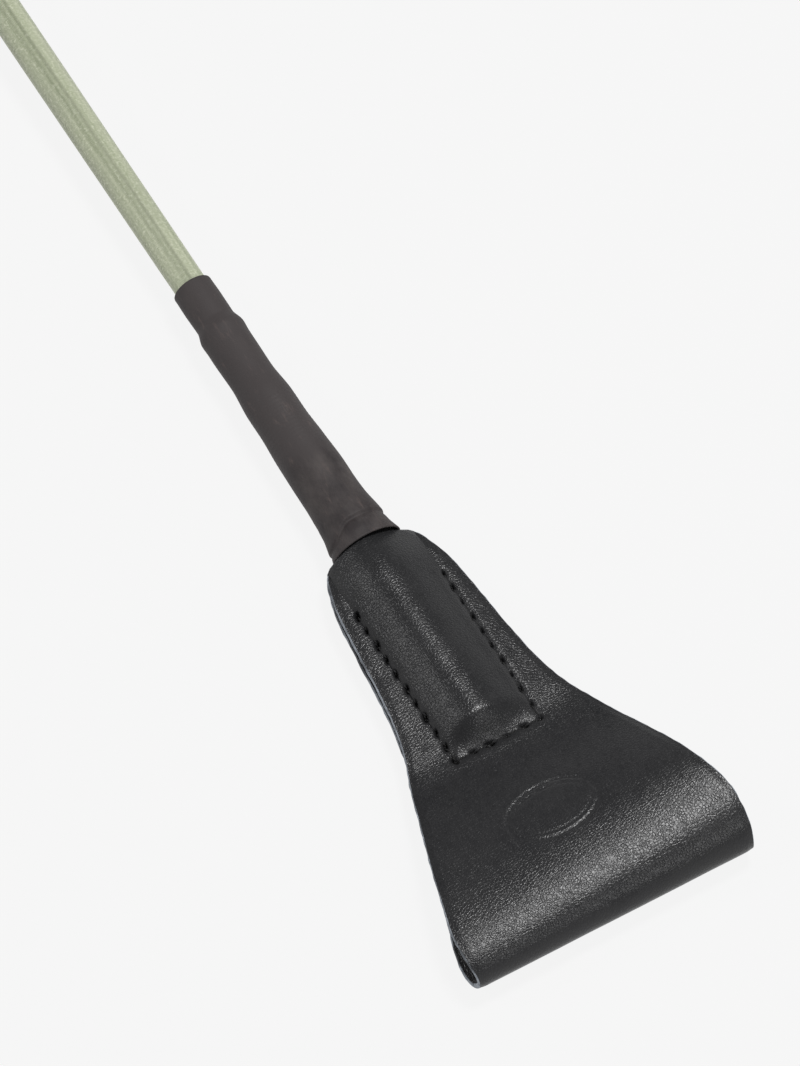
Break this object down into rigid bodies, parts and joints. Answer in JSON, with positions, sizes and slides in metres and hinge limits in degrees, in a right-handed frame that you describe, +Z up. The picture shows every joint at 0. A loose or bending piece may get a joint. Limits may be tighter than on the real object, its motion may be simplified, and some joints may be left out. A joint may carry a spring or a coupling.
{
  "type": "riding crop",
  "caption": "Riding crop lying flat: braided tapered shaft, folded and stitched leather keeper at the tip, moulded grip, mushroom cap and leather wrist loop.",
  "frame": {"origin": "on the surface that the crop lies on, below the middle of its box", "axes": "+X along the crop towards the keeper, +Z up out of the keeper's front leaf, +Y across the keeper. The crop's own axis leans 0.85 degrees down towards the keeper, because the cap's rim and the keeper's underside both rest on the surface"},
  "size_m": [0.8202, 0.0638, 0.0281],
  "materials": {
    "glass_fibre": "pultruded glass fibre, semi-gloss",
    "sage_braid": "fine braided yarn, slight sheen",
    "black_plastic": "moulded, satin",
    "keeper_leather": "smooth black, fine pebble grain, raw grey cut edges",
    "strap_leather": "smooth black strap",
    "black_thread": "waxed thread",
    "shrink_sleeve": "heat-shrunk, matte with faint mottling",
    "waxed_cord": "waxed cord",
    "nickel_steel": "nickel plated",
    "beech": "turned beech",
    "grip_rubber": "moulded, fine texture"
  },
  "bodies": {
    "crop": {"core_rod": "glass_fibre", "braided_cover": "sage_braid", "rod_tip_cap": "black_plastic", "keeper_pocket_front": "keeper_leather", "keeper_pocket_back": "keeper_leather", "stitch_thread_front": "black_thread", "stitch_thread_back": "black_thread", "neck_sleeve": "shrink_sleeve", "neck_whipping": "waxed_cord", "butt_cap": "black_plastic", "loop_pin": "nickel_steel", "cap_screw": "nickel_steel", "screw_washer": "nickel_steel", "handle_former": "beech", "rubber_grip": "grip_rubber", "grip_nose": "grip_rubber"},
    "flap": {"keeper_flap": "keeper_leather"},
    "loop": {"wrist_strap": "strap_leather", "strap_rivet": "nickel_steel"},
    "slider": {"strap_slider": "strap_leather"}
  },
  "joints": [
    {"name": "keeper_flex", "type": "hinge", "parent": "crop", "child": "flap", "pos_m": [0.37006, 0, 0.00483], "axis": [0, 1, 0], "range_deg": [-45, 45], "stiffness_Nm_per_rad": 0.25},
    {"name": "loop_swing", "type": "hinge", "parent": "crop", "child": "loop", "pos_m": [-0.23587, 0, 0.01409], "axis": [0.0149, 0, 0.9999], "range_deg": [-40, 40]},
    {"name": "slider_travel", "type": "slide", "parent": "loop", "child": "slider", "axis": [-0.9999, 0, 0.0149], "range_m": [0, 0.024]}
  ]
}
